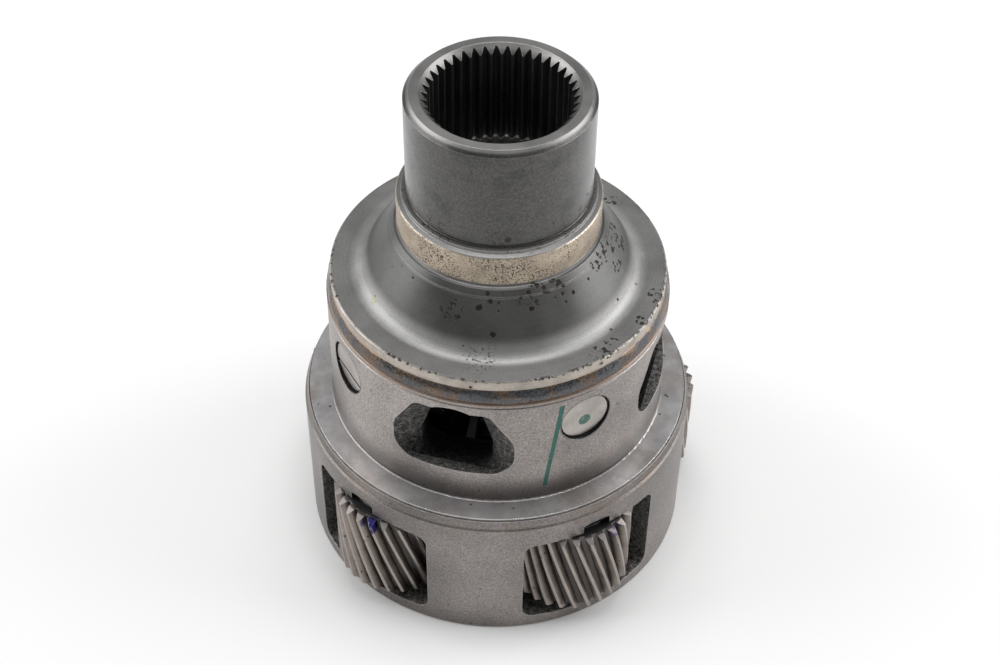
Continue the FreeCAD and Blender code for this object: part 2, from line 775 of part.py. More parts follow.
def domed_blank(bore, outer, front):
    """Round blank about the Z axis between a flat front and the sphere that the bevel teeth end at."""
    cone = size("bevel_cone")

    def dome(radius):
        return Vector(radius, 0, math.sqrt(cone ** 2 - radius ** 2))

    inner_top, outer_top = dome(bore), dome(outer)
    sides = [
        Part.makeLine(Vector(bore, 0, front), Vector(outer, 0, front)),
        Part.makeLine(Vector(outer, 0, front), outer_top),
        Part.Arc(outer_top, dome((bore + outer) / 2), inner_top).toShape(),
        Part.makeLine(inner_top, Vector(bore, 0, front)),
    ]
    return Part.Face(Part.Wire(sides)).revolve(Vector(0, 0, 0), UP, 360)


def pinion_shape():
    """Bevel pinion with a spherical back, apex at the origin, its axis along +Z."""
    front, overrun = size("pinion_front"), size("blank_overrun")
    teeth = bevel_teeth(bevel_rim(*bevel_sizes()["pinion"]), front - overrun, size("bevel_cone") + overrun)
    return teeth.common(domed_blank(size("pinion_bore_radius"), size("pinion_trim_radius"), front))


def side_gear_shape(hub_end):
    """Side gear with its hub and splined bore, apex at the origin, its axis along +Z."""
    back, front, overrun = size("side_back"), size("side_front"), size("blank_overrun")
    teeth = bevel_teeth(bevel_rim(*bevel_sizes()["side"]), front, back)
    ring = teeth.common(domed_blank(size("side_spline_minor"), size("side_trim_radius"), front - overrun))
    hub_foot = back - overrun
    hub = Part.makeCylinder(size("side_hub_radius"), size(hub_end) - hub_foot, Vector(0, 0, hub_foot))
    hub = hub.cut(Part.makeCylinder(size("side_spline_minor"), 2 * size("bevel_cone")))
    return ring.fuse(hub).cut(axle_spline()).removeSplitter()


def axle_spline():
    """Star-shaped cutter for the side gear's spline spaces."""
    count = int(size("side_spline_count"))
    inner, major = size("side_spline_minor - side_spline_overcut"), size("side_spline_major")
    mouth, root = size("side_spline_mouth"), size("side_spline_root")
    points = []
    for space in range(count):
        for radius, shift in ((inner, -mouth), (major, -root), (major, root), (inner, mouth)):
            turn = 2 * math.pi * (space + shift) / count
            points.append(Vector(radius * math.cos(turn), radius * math.sin(turn), 0))
    face = Part.Face(Part.makePolygon(points + points[:1]))
    return face.extrude(Vector(0, 0, 2 * size("bevel_cone")))


def make_differential_gears():
    """Two side gears on the main axis and four pinions on the cross pins, in mesh at rest."""
    centre = Vector(0, 0, size("gear_centre"))
    half_tooth = 180 / size("side_teeth")
    shaped("side_gear_upper", side_gear_shape("upper_hub_end"), Placement(centre, Rotation(UP, half_tooth)))
    flipped = Rotation(Vector(1, 0, 0), 180).multiply(Rotation(UP, half_tooth))
    shaped("side_gear_lower", side_gear_shape("lower_hub_end"), Placement(centre, flipped))
    pinion = pinion_shape()
    for number, azimuth in enumerate(DIFFERENTIAL_PINS, start=1):
        shaped("bevel_pinion_%d" % number, pinion, Placement(centre, facing(azimuth)))


def facing(azimuth):
    """Rotation that turns +Z outward to the azimuth and keeps +X upright."""
    out = outward(azimuth)
    return Rotation(UP, out.cross(UP), out, "XZY")


def make_side_washer(name, inner, outer):
    """Flat thrust washer behind a side gear, between two heights."""
    body = new_body(name)
    profile = radial_sketch(body, name + "_profile")
    box_outline(profile, "side_washer_bore", "side_washer_radius", inner, outer)
    revolve(body, profile)
    return body


def make_pinion_washers():
    """Dished thrust washers between the pinions' backs and the case's cavity."""
    inner_radius = size("cavity_radius - pinion_washer - pinion_washer_gap")
    outer_radius = size("cavity_radius - pinion_washer_gap")
    shell = Part.makeSphere(outer_radius).cut(Part.makeSphere(inner_radius))
    disc = Part.makeCylinder(size("pinion_washer_radius"), outer_radius)
    washer = shell.common(disc).cut(Part.makeCylinder(size("pinion_washer_bore"), outer_radius))
    centre = Vector(0, 0, size("gear_centre"))
    for number, azimuth in enumerate(DIFFERENTIAL_PINS, start=1):
        shaped("pinion_thrust_washer_%d" % number, washer, Placement(centre, facing(azimuth)))


# ---------------------------------------------------------------- planets
def planet_outline():
    """Transverse outline of the helical planet: involute flanks, round tips and roots."""
    teeth = int(size("planet_teeth"))
    module = size("planet_module")
    pressure = math.radians(size("planet_pressure"))
    pitch = module * teeth / 2
    base = pitch * math.cos(pressure)
    tip = pitch + module
    root = pitch - module - size("planet_root_gap") * module
    half_pitch_angle = math.pi / 2 / teeth - size("planet_backlash") / 2 / pitch

    def flank_point(radius, centre, side):
        slant = math.acos(min(1.0, base / radius))
        turn = centre + side * (half_pitch_angle + involute(pressure) - involute(slant))
        return Vector(radius * math.cos(turn), radius * math.sin(turn), 0)

    steps = 4
    radii = [root + (tip - root) * step / (steps - 1) for step in range(steps)]
    edges = []
    for tooth in range(teeth):
        centre = 2 * math.pi * tooth / teeth
        rise = [flank_point(radius, centre, -1) for radius in radii]
        fall = [flank_point(radius, centre, 1) for radius in reversed(radii)]
        following = flank_point(root, centre + 2 * math.pi / teeth, -1)
        for points in (rise, fall):
            curve = Part.BSplineCurve()
            curve.interpolate(points)
            edges.append(curve.toShape())
        edges.append(ring_arc(rise[-1], fall[0]))
        edges.append(ring_arc(fall[-1], following))
    return Part.Wire(Part.__sortEdges__(edges)), tip, root


def planet_shape():
    """Left-hand helical planet on the Z axis, foot at the origin, with its bore and its upper hub."""
    wire, tip, root = planet_outline()
    bottom, shoulder = size("planet_bottom"), size("planet_shoulder")
    height = shoulder - bottom
    spine = Part.Wire(Part.makeLine(Vector(0, 0, 0), Vector(0, 0, height)))
    helix = Part.makeHelix(size("planet_lead"), height, tip, 0, True)
    sweep = Part.BRepOffsetAPI.MakePipeShell(spine)
    sweep.setAuxiliarySpine(Part.Wire(helix), True, 0)
    sweep.add(wire)
    sweep.build()
    sweep.makeSolid()
    teeth = sweep.shape()
    drop = size("planet_tooth_chamfer")
    blank = tip + size("planet_blank_allowance")
    foot = Part.makeCone(tip - 2 * drop, blank, drop)
    middle = Part.makeCylinder(blank, height - 2 * drop, Vector(0, 0, drop))
    head = Part.makeCone(blank, tip - 2 * drop, drop, Vector(0, 0, height - drop))
    teeth = teeth.common(foot.fuse([middle, head]))
    hub = Part.makeCylinder(size("planet_hub_radius"), size("planet_top") - bottom)
    gear = teeth.fuse(hub).cut(Part.makeCylinder(size("planet_bore_radius"), 2 * height))
    return gear.removeSplitter()


def make_planets():
    """Planets with their pins, needle rollers and thrust washers, one set at each station."""
    gear = planet_shape()
    lead_turn = 360 / size("planet_lead")
    mesh_turn = size("sun_teeth") / size("planet_teeth")
    count = int(size("planet_count"))
    for station in range(count):
        number = station + 1
        step = 360 * station / count
        azimuth = size("first_planet_azimuth") + step
        at = outward(azimuth, size("planet_orbit"))
        foot = outward(azimuth, size("planet_orbit"), size("planet_bottom"))
        tooth = size("planet_rest_angle") + step * mesh_turn
        tooth += lead_turn * size("planet_phase_height - planet_bottom")
        shaped("planet_gear_%d" % number, gear, Placement(foot, Rotation(UP, azimuth - 90 + tooth)))
        make_planet_pin("planet_pin_%d" % number, at)
        make_needles("planet_needles_%d" % number, at)
        steel_low = ("planet_floor", "planet_floor + steel_washer")
        steel_high = ("spotface_top - steel_washer", "spotface_top")
        make_washer_pair("planet_steel_washers_%d" % number, at, steel_low, steel_high)
        floor = "planet_floor + steel_washer + washer_gap"
        ceiling = "spotface_top - steel_washer - washer_gap"
        bronze_low = (floor, floor + " + bronze_washer")
        bronze_high = (ceiling + " - bronze_washer", ceiling)
        make_washer_pair("planet_bronze_washers_%d" % number, at, bronze_low, bronze_high)


def make_planet_pin(name, at):
    body = new_body(name)
    profile = radial_sketch(body, name + "_profile")
    outline(profile, [
        ("0", "planet_pin_bottom"),
        ("planet_pin_radius - planet_pin_edge", "planet_pin_bottom"),
        ("planet_pin_radius", "planet_pin_bottom + planet_pin_edge"),
        ("planet_pin_radius", "planet_pin_top - planet_pin_edge"),
        ("planet_pin_radius - planet_pin_edge", "planet_pin_top"),
        ("0", "planet_pin_top"),
    ])
    revolve(body, profile)
    body.Placement = Placement(at, Rotation())
    return body


def make_needles(name, at):
    """Full ring of loose needle rollers between the pin and the planet's bore."""
    body = new_body(name)
    section = flat_sketch(body, name + "_section", "needle_bottom")
    circle(section, "0", "-needle_circle", "needle_radius")
    repeat(body, pad(body, section, "needle_top - needle_bottom"), "needle_count")
    body.Placement = Placement(at, Rotation())
    return body


def make_washer_pair(name, at, low, high):
    """Two equal thrust washers, one under the planet and one over it."""
    body = new_body(name)
    profile = radial_sketch(body, name + "_profile")
    for bottom, top in (low, high):
        box_outline(profile, "washer_bore_radius", "washer_radius", bottom, top)
    revolve(body, profile)
    body.Placement = Placement(at, Rotation())
    return body


# ---------------------------------------------------------------- assembly, check and export
def make_all():
    make_case()
    make_cover()
    make_weld()
    make_long_cross_pin()
    make_short_cross_pin("cross_pin_short_front", 45)
    make_short_cross_pin("cross_pin_short_rear", 225)
    make_roll_pins()
    make_differential_gears()
    upper = "gear_centre + side_back + side_washer_gap"
    lower = "gear_centre - side_back - side_washer_gap"
    make_side_washer("side_washer_upper", upper, upper + " + side_washer")
    make_side_washer("side_washer_lower", lower + " - side_washer", lower)
    make_pinion_washers()
    make_planets()
    doc.recompute()


def sub_parts():
    return [thing for thing in doc.Objects if thing.TypeId in ("PartDesign::Body", "Part::Feature")]


def check_document():
    """Stop if any object failed, or a sub-part's shape is missing or not valid."""
    for thing in doc.Objects:
        if "Invalid" in thing.State or "Error" in thing.State:
            raise RuntimeError("%s: %s" % (thing.Name, thing.State))
    for part in sub_parts():
        if part.Shape.isNull() or not part.Shape.isValid():
            raise RuntimeError(part.Label + ": shape is null or not valid")


def export_parts():
    os.makedirs("parts", exist_ok=True)
    for part in sub_parts():
        part.Shape.exportStep(os.path.join("parts", part.Label + ".step"))
        print("%-26s %2d solid(s) %12.1f mm3" % (part.Label, len(part.Shape.Solids), part.Shape.Volume))


make_all()
check_document()
export_parts()
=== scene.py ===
import json
import math

import bmesh
import bpy
from mathutils import Matrix, Vector, noise


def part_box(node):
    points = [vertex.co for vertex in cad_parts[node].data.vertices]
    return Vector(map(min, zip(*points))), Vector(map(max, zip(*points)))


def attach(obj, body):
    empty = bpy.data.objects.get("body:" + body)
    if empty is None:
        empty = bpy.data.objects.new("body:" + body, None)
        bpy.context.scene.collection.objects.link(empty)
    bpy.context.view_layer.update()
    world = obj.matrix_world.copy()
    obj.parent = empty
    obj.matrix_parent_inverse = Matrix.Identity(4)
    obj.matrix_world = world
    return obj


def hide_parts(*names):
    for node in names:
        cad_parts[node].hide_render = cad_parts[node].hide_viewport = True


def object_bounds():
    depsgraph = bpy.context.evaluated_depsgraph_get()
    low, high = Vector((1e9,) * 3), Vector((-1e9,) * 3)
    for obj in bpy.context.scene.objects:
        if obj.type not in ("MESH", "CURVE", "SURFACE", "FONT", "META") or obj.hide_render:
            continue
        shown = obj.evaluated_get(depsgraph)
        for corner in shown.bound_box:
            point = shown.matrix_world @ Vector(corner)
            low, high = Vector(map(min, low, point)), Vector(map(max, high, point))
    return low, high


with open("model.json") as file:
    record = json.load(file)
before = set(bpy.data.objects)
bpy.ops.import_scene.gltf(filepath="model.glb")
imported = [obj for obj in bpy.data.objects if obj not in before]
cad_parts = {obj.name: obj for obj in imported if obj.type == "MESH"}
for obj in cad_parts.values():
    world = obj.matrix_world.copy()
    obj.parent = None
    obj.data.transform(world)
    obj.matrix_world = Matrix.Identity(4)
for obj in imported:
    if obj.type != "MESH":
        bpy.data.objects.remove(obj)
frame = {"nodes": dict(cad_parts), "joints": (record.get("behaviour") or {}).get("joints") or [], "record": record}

CAD_LOW, CAD_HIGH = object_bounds()
MM = 0.001


# ---------------------------------------------------------------- sizes and places, most from the frame

def joint_place(name):
    """Where a joint's axis stands, seen from above."""
    return next(joint["pos_m"] for joint in frame["joints"] if joint["name"] == name)


DRUM_RADIUS = 80.0 * MM
TUBE_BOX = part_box("cover_tube")
WELD_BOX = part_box("weld_bead")
TUBE_TOP = TUBE_BOX[1].z
WELD_BOTTOM, WELD_TOP = WELD_BOX[0].z, WELD_BOX[1].z
WELD_RADIUS = WELD_BOX[1].x
PIN_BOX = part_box("cross_pin_long")
PIN_HEIGHT = (PIN_BOX[0].z + PIN_BOX[1].z) / 2
PIN_RADIUS = (PIN_BOX[1].z - PIN_BOX[0].z) / 2
PLANET_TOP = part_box("planet_gear_1")[1].z
PLANET_ROOT, PLANET_TIP = 19.3 * MM, 25.1 * MM

# Faces of the cover and the case that the materials tell apart, seen from the axis.
BORE_RADIUS = 29.2 * MM
BAND_LOW, BAND_HIGH = 156.4 * MM, 168.4 * MM
RIM_LOW, RIM_HIGH = 127.6 * MM, 131.9 * MM
CONE_FOOT, CONE_FOOT_END = 50.0 * MM, 54.0 * MM
CONE_HEAD = 39.4 * MM
CASE_FOOT, CASE_HEAD = 68.5 * MM, 119.3 * MM
CASE_FOOT_RADIUS, CASE_HEAD_RADIUS = 68.3 * MM, 67.8 * MM
SHOULDER_TOP = 67.9 * MM
LEDGE_LOW, LEDGE_HIGH = 168.3 * MM, 170.6 * MM               # the ledge under the tube's spline
TOOTH_ENDS_LOW, TOOTH_ENDS_HIGH = 170.8 * MM, 171.9 * MM     # the spline's lower ends
TUBE_FOOT_LOW, TUBE_FOOT_HIGH = 171.2 * MM, 179.0 * MM       # the specked foot of the tube
SLASH_LOW, SLASH_HIGH = 74 * MM, 117 * MM                    # the green pen stroke on the case


# ---------------------------------------------------------------- node materials

RING_DRIFT = 0.6                     # how fast the lathe lines change along their turn
EDGE_FLAT, EDGE_SHARP = 0.99, 0.86   # cosines between a face's normal and the rounded one
BEVEL_SAMPLES = 4
COAT_ROUGHNESS = 0.25


def around(azimuth_deg, radius, height):
    """A point from its azimuth, radius and height."""
    angle = math.radians(azimuth_deg)
    return Vector((radius * math.sin(angle), -radius * math.cos(angle), height))


class Paint:
    """A node material being made. Each call adds a node and gives back its output."""

    def __init__(self, name, axis=(0.0, 0.0)):
        self.material = bpy.data.materials.new(name)
        self.material.use_nodes = True
        self.tree = self.material.node_tree
        self.tree.nodes.clear()
        place = self.node("ShaderNodeTexCoord").outputs["Object"]
        moved = self.node("ShaderNodeVectorMath", place, (-axis[0], -axis[1], 0.0), operation="ADD")
        self.place = moved.outputs[0]
        parts = self.node("ShaderNodeSeparateXYZ", self.place)
        self.x, self.y, self.height = parts.outputs
        self.radius = self.length(self.x, self.y)
        self.azimuth = self.math("ARCTAN2", self.x, self.math("MULTIPLY", self.y, -1.0))

    def node(self, kind, *values, **settings):
        made = self.tree.nodes.new(kind)
        for name, value in settings.items():
            setattr(made, name, value)
        for socket, value in zip(made.inputs, values):
            self.feed(socket, value)
        return made

    def feed(self, socket, value):
        if isinstance(value, bpy.types.NodeSocket):
            self.tree.links.new(value, socket)
        else:
            socket.default_value = value

    def math(self, operation, *values):
        return self.node("ShaderNodeMath", *values, operation=operation).outputs[0]

    def length(self, first, second):
        """Length of the vector with these two parts."""
        squares = [self.math("MULTIPLY", part, part) for part in (first, second)]
        return self.math("SQRT", self.math("ADD", *squares))

    def ramp(self, value, start, end, low=0.0, high=1.0):
        """Goes smoothly from low to high as value goes from start to end."""
        return self.node("ShaderNodeMapRange", value, start, end, low, high,
                         interpolation_type="SMOOTHSTEP").outputs[0]

    def line(self, value, start, end, low, high):
        """Goes evenly from low to high as value goes from start to end."""
        return self.node("ShaderNodeMapRange", value, start, end, low, high).outputs[0]

    def both(self, *masks):
        """The masks times each other."""
        result = masks[0]
        for mask in masks[1:]:
            result = self.math("MULTIPLY", result, mask)
        return result

    def either(self, *masks):
        """The highest of the masks."""
        result = masks[0]
        for mask in masks[1:]:
            result = self.math("MAXIMUM", result, mask)
        return result

    def without(self, mask):
        """The mask the other way round."""
        return self.math("SUBTRACT", 1.0, mask)

    def between(self, value, low, high, soft):
        """1 where value is from low to high, fading over soft outside them."""
        return self.both(self.ramp(value, low - soft, low), self.ramp(value, high + soft, high))

    def noise(self, size, detail=3.0, rough=0.55, vector=None, twist=0.0):
        """Cloudy noise whose blobs are about size metres across."""
        made = self.node("ShaderNodeTexNoise", vector or self.place)
        made.inputs["Scale"].default_value = 1.0 / size
        made.inputs["Detail"].default_value = detail
        made.inputs["Roughness"].default_value = rough
        made.inputs["Distortion"].default_value = twist
        return made.outputs[0]

    def cells(self, size):
        """Distance to the nearest of many scattered points, 0 at a point and about 1 between them."""
        made = self.node("ShaderNodeTexVoronoi", self.place)
        made.inputs["Scale"].default_value = 1.0 / size
        return made.outputs["Distance"]

    def rings(self, pitch):
        """Fine lathe lines round the axis, pitch metres apart."""
        scaled = [self.math("DIVIDE", value, pitch) for value in (self.radius, self.height)]
        drift = self.math("MULTIPLY", self.azimuth, RING_DRIFT)
        line = self.node("ShaderNodeCombineXYZ", *scaled, drift)
        return self.noise(1.0, detail=2.0, rough=0.7, vector=line.outputs[0])

    def mix(self, mask, first, second):
        """The first colour, and the second where the mask is 1."""
        made = self.node("ShaderNodeMix", data_type="RGBA")
        self.feed(made.inputs["Factor"], mask)
        for socket, value in (("A", first), ("B", second)):
            wanted = [s for s in made.inputs if s.name == socket and s.type == "RGBA"][0]
            self.feed(wanted, value if isinstance(value, bpy.types.NodeSocket) else (*value, 1.0))
        return [s for s in made.outputs if s.type == "RGBA"][0]

    def over(self, colour, mask, strength, paint):
        """The colour with some of a paint over it where the mask is 1."""
        return self.mix(self.math("MULTIPLY", mask, strength), colour, paint)

    def shaded(self, colour, amount):
        """colour made lighter or darker by a factor that varies over the surface."""
        factor = self.node("ShaderNodeCombineColor", amount, amount, amount).outputs[0]
        made = self.node("ShaderNodeMix", data_type="RGBA", blend_type="MULTIPLY")
        made.inputs["Factor"].default_value = 1.0
        inputs = [s for s in made.inputs if s.type == "RGBA"]
        self.feed(inputs[0], colour if isinstance(colour, bpy.types.NodeSocket) else (*colour, 1.0))
        self.feed(inputs[1], factor)
        return [s for s in made.outputs if s.type == "RGBA"][0]

    def near(self, point, reach, soft):
        """1 within reach of a point, fading over soft."""
        gap = self.node("ShaderNodeVectorMath", self.place, point, operation="DISTANCE").outputs["Value"]
        return self.ramp(gap, reach + soft, reach)

    def near_any(self, places):
        """1 near any of the places, each an azimuth in degrees and four lengths in mm."""
        return self.either(*[self.near(around(azimuth, radius * MM, height * MM), reach * MM, soft * MM)
                             for azimuth, radius, height, reach, soft in places])

    def edges(self, width):
        """1 along the sharp edges of the shape, found by rounding its normals over width."""
        rounded = self.node("ShaderNodeBevel", width, samples=BEVEL_SAMPLES).outputs[0]
        flat = self.node("ShaderNodeNewGeometry").outputs["Normal"]
        turn = self.node("ShaderNodeVectorMath", rounded, flat, operation="DOT_PRODUCT").outputs["Value"]
        return self.ramp(turn, EDGE_FLAT, EDGE_SHARP)

    def finish(self, colour, roughness, metallic, heights=(), edge_round=0.25 * MM, coat=0.0):
        """heights are (value, metres) pairs, added up as one bump."""
        shader = self.node("ShaderNodeBsdfPrincipled")
        self.feed(shader.inputs["Base Color"], colour)
        self.feed(shader.inputs["Roughness"], roughness)
        shader.inputs["Metallic"].default_value = metallic
        self.feed(shader.inputs["Coat Weight"], coat)
        shader.inputs["Coat Roughness"].default_value = COAT_ROUGHNESS
        normal = self.node("ShaderNodeBevel", edge_round, samples=BEVEL_SAMPLES).outputs[0]
        for value, depth in heights:
            bump = self.node("ShaderNodeBump")
            bump.inputs["Strength"].default_value = 1.0
            bump.inputs["Distance"].default_value = depth
            self.feed(bump.inputs["Height"], value)
            self.feed(bump.inputs["Normal"], normal)
            normal = bump.outputs[0]
        self.feed(shader.inputs["Normal"], normal)
        out = self.node("ShaderNodeOutputMaterial")
        self.tree.links.new(shader.outputs[0], out.inputs["Surface"])
        return self.material


RUST = (0.085, 0.045, 0.028)
DARK_RUST = (0.045, 0.036, 0.032)
# lightens sharp edges: wear, and a painted highlight along them
EDGE_WEAR_AND_HIGHLIGHT = (0.78, 0.75, 0.72)
# near black: oily dirt on small parts, and painted shade in the bore, the windows, round the cross pins and on the
# pins inside the case
OIL_AND_SHADE_BLACK = (0.012, 0.012, 0.013)
MARKER_GREEN = (0.010, 0.110, 0.085)
MARKER_BLUE = (0.012, 0.010, 0.140)
MARKER_PURPLE = (0.080, 0.030, 0.170)
TURNED_GREY = (0.285, 0.281, 0.277)
TUBE_GREY = (0.068, 0.066, 0.064)
CONE_GREY = (0.122, 0.121, 0.118)
FLANGE_HIGHLIGHT_GREY = (0.40, 0.397, 0.392)
BAND_TAN = (0.56, 0.475, 0.375)
RIM_TAN = (0.50, 0.455, 0.405)
RIM_TINT = (0.34, 0.225, 0.135)
BLOTCH = (0.034, 0.028, 0.025)
SPOT = (0.030, 0.020, 0.016)
YELLOW_STAIN = (0.36, 0.33, 0.06)
LEDGE_PAINTED_LIGHT = (0.36, 0.355, 0.35)
TOOTH_END_PAINTED_LIGHT = (0.90, 0.89, 0.87)
CASE_GREY = (0.335, 0.306, 0.290)
SHOULDER_PAINTED_LIGHT = (0.68, 0.67, 0.675)
HEAT_TINT = (0.34, 0.235, 0.165)
FOOT_SHADE = (0.075, 0.072, 0.069)
CAST_GREY = (0.150, 0.146, 0.141)
SEAM_TINT = (0.36, 0.22, 0.13)
BURNT = (0.075, 0.055, 0.045)
OXIDE_GREY = (0.105, 0.108, 0.116)
OXIDE_BROWN = (0.165, 0.122, 0.095)
TOE_TINT = (0.36, 0.235, 0.145)
SLAG = (0.06, 0.032, 0.022)
PIN_GREY = (0.420, 0.385, 0.360)
FLANK_BROWN = (0.315, 0.272, 0.245)
ROOT_SHADE = (0.038, 0.034, 0.031)
TOOTH_TOP = (0.135, 0.140, 0.150)
CREST_WEAR_AND_HIGHLIGHT = (0.42, 0.385, 0.355)
CHIP = (0.030, 0.022, 0.018)
OILED_STEEL = (0.026, 0.025, 0.024)
STEEL_GREY = (0.30, 0.29, 0.28)


# Places on the cover: azimuth in degrees, then radius, height, reach and fade in mm.
BLOTCH_FIELDS = ((88, 43.5, 149.5, 4, 3), (103, 45.5, 146.5, 4, 4), (88, 46.3, 145.2, 3, 3),
                 (75, 42.3, 151.4, 2, 3), (52, 63.3, 132.2, 2.5, 3), (58, 62.7, 132.2, 2, 3),
                 (74, 63.4, 132.2, 1, 3), (88, 63.8, 132.2, 2, 3), (13, 41.6, 152.6, 2, 2.5),
                 (29, 43.0, 150.3, 2, 2), (34, 41.8, 152.2, 3, 3), (45, 42.0, 151.6, 2.5, 3),
                 (-7, 45.7, 146.1, 3, 3))
SINGLE_SPOTS = ((12.8, 49.4, 140.4, 0.5, 1.0), (53.8, 44.4, 148.3, 0.4, 0.8), (65.0, 43.8, 149.1, 0.3, 0.5),
                (75.5, 52.1, 136.1, 0.3, 0.5), (5.7, 44.1, 148.6, 0.6, 1.2), (30.9, 44.8, 147.7, 0.5, 1.0),
                (20.2, 35.3, 174.6, 0.7, 1.0), (0.8, 52.3, 135.8, 0.2, 0.3), (15.1, 44.6, 147.9, 0.2, 0.4))
FILLET_PITS = ((8, 55.5, 133.5, 3, 6),)
STAIN_PLACE = ((-46.9, 53.5, 134.0, 1.2, 1.0),)


def turned_steel():
    """The cover: dark satin tube, tan ground band, satin flange with rust blotches, tan rim."""
    p = Paint("turned_steel")
    tone = p.noise(22 * MM, detail=4.0)
    fine = p.noise(0.55 * MM, detail=2.0)
    lathe = p.rings(0.35 * MM)

    grey = p.shaded(TURNED_GREY, p.ramp(tone, 0.25, 0.75, 0.84, 1.14))
    outer = p.ramp(p.radius, 30.5 * MM, 32.5 * MM)
    on_tube = p.both(p.ramp(p.height, 170.0 * MM, 171.5 * MM), outer)
    wall = p.both(on_tube, p.ramp(p.height, TUBE_TOP - 0.5 * MM, TUBE_TOP - 1.4 * MM))
    patches = p.ramp(p.noise(14 * MM, detail=5.0, rough=0.65), 0.42, 0.72)
    dark_wall = p.shaded(TUBE_GREY, p.ramp(patches, 0.0, 1.0, 1.15, 0.72))
    dark_wall = p.shaded(dark_wall, p.ramp(p.noise(1.1 * MM, detail=4.0, rough=0.7), 0.35, 0.65, 0.78, 1.26))
    grey = p.mix(wall, grey, dark_wall)
    cone = p.both(p.ramp(p.radius, CONE_FOOT_END, CONE_FOOT), p.ramp(p.height, 155.2 * MM, 154.6 * MM),
                  p.ramp(p.radius, CONE_HEAD, CONE_HEAD + 0.4 * MM))
    grey = p.mix(cone, grey, p.shaded(CONE_GREY, p.ramp(tone, 0.25, 0.75, 0.82, 1.20)))
    # Painted light and shade on the flange: lighter than the rest of the cover, a painted highlight round the
    # fillet, then falling to 0.58 of that from 55 to 59 mm, painted shade on the flat outer ring.
    flange = p.both(p.ramp(p.radius, CONE_FOOT, CONE_FOOT_END), p.ramp(p.height, 131.7 * MM, 132.0 * MM))
    flange_painted_light = p.shaded(FLANGE_HIGHLIGHT_GREY, p.ramp(tone, 0.25, 0.75, 0.85, 1.15))
    flange_painted_light = p.shaded(flange_painted_light, p.ramp(p.radius, 55 * MM, 59 * MM, 1.0, 0.58))
    grey = p.mix(flange, grey, flange_painted_light)

    band = p.both(p.between(p.height, BAND_LOW, BAND_HIGH, 0.3 * MM), p.ramp(p.radius, 38.6 * MM, 39.0 * MM))
    tan = p.shaded(BAND_TAN, p.ramp(p.noise(9 * MM), 0.3, 0.7, 0.82, 1.12))
    grey = p.mix(band, grey, tan)
    rim = p.both(p.between(p.height, RIM_LOW, RIM_HIGH, 0.15 * MM), p.ramp(p.radius, 65.3 * MM, 65.7 * MM))
    rim_tan = p.shaded(RIM_TAN, p.ramp(p.noise(6 * MM), 0.3, 0.7, 0.80, 1.12))
    grey = p.mix(rim, grey, rim_tan)
    tint_low = p.both(rim, p.ramp(p.height, RIM_LOW + 1.3 * MM, RIM_LOW + 0.2 * MM),
                      p.ramp(p.noise(12 * MM), 0.46, 0.66))
    grey = p.over(grey, tint_low, 0.6, RIM_TINT)

    # Pits: dense on the band, a ragged line along the flange's rim, specks at the tube's foot and in
    # the fillet's front, and scattered ones elsewhere.
    band_pits = p.both(band, p.ramp(p.noise(0.62 * MM, detail=3.0), 0.53, 0.60),
                       p.ramp(p.noise(14 * MM), 0.36, 0.60, 0.15, 1.0))
    rim_line = p.both(p.between(p.height, 131.55 * MM, 132.25 * MM, 0.15 * MM),
                      p.ramp(p.radius, 64.6 * MM, 65.2 * MM),
                      p.ramp(p.noise(1.6 * MM, detail=4.0), 0.50, 0.57), p.ramp(p.noise(20 * MM), 0.40, 0.52))
    foot_line = p.both(p.between(p.height, TUBE_FOOT_LOW, TUBE_FOOT_HIGH, 3.0 * MM), outer,
                       p.ramp(p.noise(1.5 * MM, detail=4.0, twist=0.4), 0.56, 0.62),
                       p.ramp(p.noise(13 * MM, detail=2.0), 0.44, 0.56))
    scattered = p.both(p.ramp(p.cells(7.5 * MM), 0.105, 0.075), p.ramp(p.noise(18 * MM), 0.46, 0.56),
                       p.ramp(p.radius, 35.0 * MM, 36.0 * MM))
    fillet_pits = p.both(p.near_any(FILLET_PITS), p.ramp(p.noise(0.9 * MM, detail=3.0), 0.57, 0.63))
    pits = p.either(band_pits, rim_line, foot_line, scattered, fillet_pits)

    # Rust: blotches in fields on the cone and along the rim, larger ones behind, and single spots.
    round_spots = p.both(p.ramp(p.cells(2.8 * MM), 0.38, 0.30), p.ramp(p.noise(6 * MM), 0.42, 0.50))
    ragged = p.either(round_spots, p.ramp(p.noise(2.4 * MM, detail=3.0, rough=0.5), 0.57, 0.61))
    fields = p.near_any(BLOTCH_FIELDS)
    far_field = p.both(p.ramp(p.noise(30 * MM, detail=2.0), 0.58, 0.66),
                       p.ramp(p.radius, 40 * MM, 42 * MM), p.ramp(p.y, -5 * MM, 25 * MM))
    blotches = p.both(ragged, p.ramp(p.either(fields, far_field), 0.15, 0.7),
                      p.ramp(p.height, 155.8 * MM, 155.0 * MM))
    spot_places = p.near_any(SINGLE_SPOTS)
    outline = p.math("MULTIPLY", p.noise(1.1 * MM), 2.0)   # makes the spots ragged
    single_spots = p.both(p.ramp(p.math("ADD", spot_places, outline), 1.43, 1.53),
                          p.ramp(spot_places, 0.0, 0.1))
    stain = p.both(p.near_any(STAIN_PLACE), p.ramp(p.noise(0.9 * MM), 0.44, 0.60))

